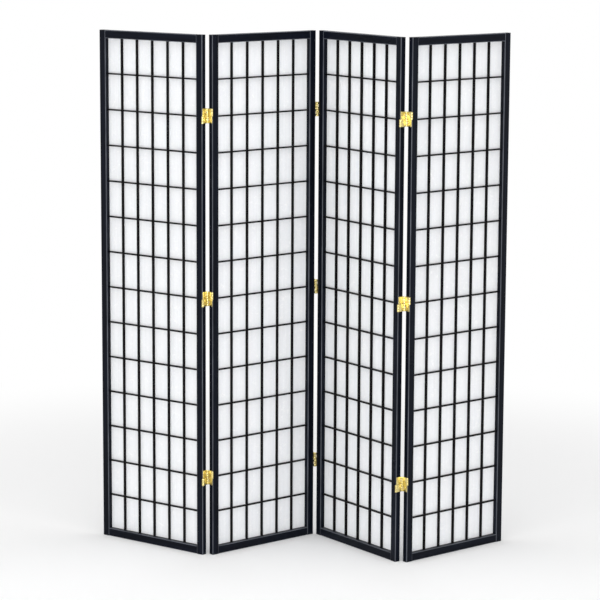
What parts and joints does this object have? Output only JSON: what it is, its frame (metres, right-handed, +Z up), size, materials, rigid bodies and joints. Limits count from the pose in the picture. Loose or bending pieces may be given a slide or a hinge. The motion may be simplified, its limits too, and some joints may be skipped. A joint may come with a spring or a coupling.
{
  "type": "folding screen",
  "caption": "Tall folding screen with black lacquered wood frames, a fine grid of struts over white rice paper, and brass double-acting hinges between its panels.",
  "frame": {"origin": "on the floor, in the middle of the footprint of the screen as it stands in the picture", "axes": "+Z up, the panels' fronts face towards -Y, +X to the viewer's right"},
  "size_m": [1.3998, 0.3934, 1.778],
  "materials": {
    "frame": "black lacquer, satin gloss",
    "lattice": "black lacquer, satin",
    "paper": "matt fibrous white",
    "hinge": "polished"
  },
  "bodies": {
    "panel_1": {"panel_1_left_stile": "frame", "panel_1_right_stile": "frame", "panel_1_top_rail": "frame", "panel_1_bottom_rail": "frame", "panel_1_lattice": "lattice", "panel_1_paper": "paper", "hinge_1_top_left_leaf": "hinge", "hinge_1_top_lower_link": "hinge", "hinge_1_middle_left_leaf": "hinge", "hinge_1_middle_lower_link": "hinge", "hinge_1_bottom_left_leaf": "hinge", "hinge_1_bottom_lower_link": "hinge"},
    "panel_2": {"panel_2_left_stile": "frame", "panel_2_right_stile": "frame", "panel_2_top_rail": "frame", "panel_2_bottom_rail": "frame", "panel_2_lattice": "lattice", "panel_2_paper": "paper", "hinge_1_top_right_leaf": "hinge", "hinge_1_top_upper_link": "hinge", "hinge_1_middle_right_leaf": "hinge", "hinge_1_middle_upper_link": "hinge", "hinge_1_bottom_right_leaf": "hinge", "hinge_1_bottom_upper_link": "hinge", "hinge_2_top_left_leaf": "hinge", "hinge_2_top_upper_link": "hinge", "hinge_2_middle_left_leaf": "hinge", "hinge_2_middle_upper_link": "hinge", "hinge_2_bottom_left_leaf": "hinge", "hinge_2_bottom_upper_link": "hinge"},
    "panel_3": {"panel_3_left_stile": "frame", "panel_3_right_stile": "frame", "panel_3_top_rail": "frame", "panel_3_bottom_rail": "frame", "panel_3_lattice": "lattice", "panel_3_paper": "paper", "hinge_2_top_right_leaf": "hinge", "hinge_2_top_lower_link": "hinge", "hinge_2_middle_right_leaf": "hinge", "hinge_2_middle_lower_link": "hinge", "hinge_2_bottom_right_leaf": "hinge", "hinge_2_bottom_lower_link": "hinge", "hinge_3_top_left_leaf": "hinge", "hinge_3_top_lower_link": "hinge", "hinge_3_middle_left_leaf": "hinge", "hinge_3_middle_lower_link": "hinge", "hinge_3_bottom_left_leaf": "hinge", "hinge_3_bottom_lower_link": "hinge"},
    "panel_4": {"panel_4_left_stile": "frame", "panel_4_right_stile": "frame", "panel_4_top_rail": "frame", "panel_4_bottom_rail": "frame", "panel_4_lattice": "lattice", "panel_4_paper": "paper", "hinge_3_top_right_leaf": "hinge", "hinge_3_top_upper_link": "hinge", "hinge_3_middle_right_leaf": "hinge", "hinge_3_middle_upper_link": "hinge", "hinge_3_bottom_right_leaf": "hinge", "hinge_3_bottom_upper_link": "hinge"}
  },
  "joints": [
    {"name": "fold_1_2", "type": "hinge", "parent": "panel_2", "child": "panel_1", "pos_m": [-0.32262, -0.09162, 0.889], "axis": [0, 0, 1], "range_deg": [-105.5, 74.5]},
    {"name": "fold_2_3", "type": "hinge", "parent": "panel_2", "child": "panel_3", "pos_m": [0.04517, 0.17275, 0.889], "axis": [0, 0, 1], "range_deg": [-86.7, 92]},
    {"name": "fold_3_4", "type": "hinge", "parent": "panel_3", "child": "panel_4", "pos_m": [0.33807, -0.17275, 0.889], "axis": [0, 0, 1], "range_deg": [-92, 88]}
  ]
}
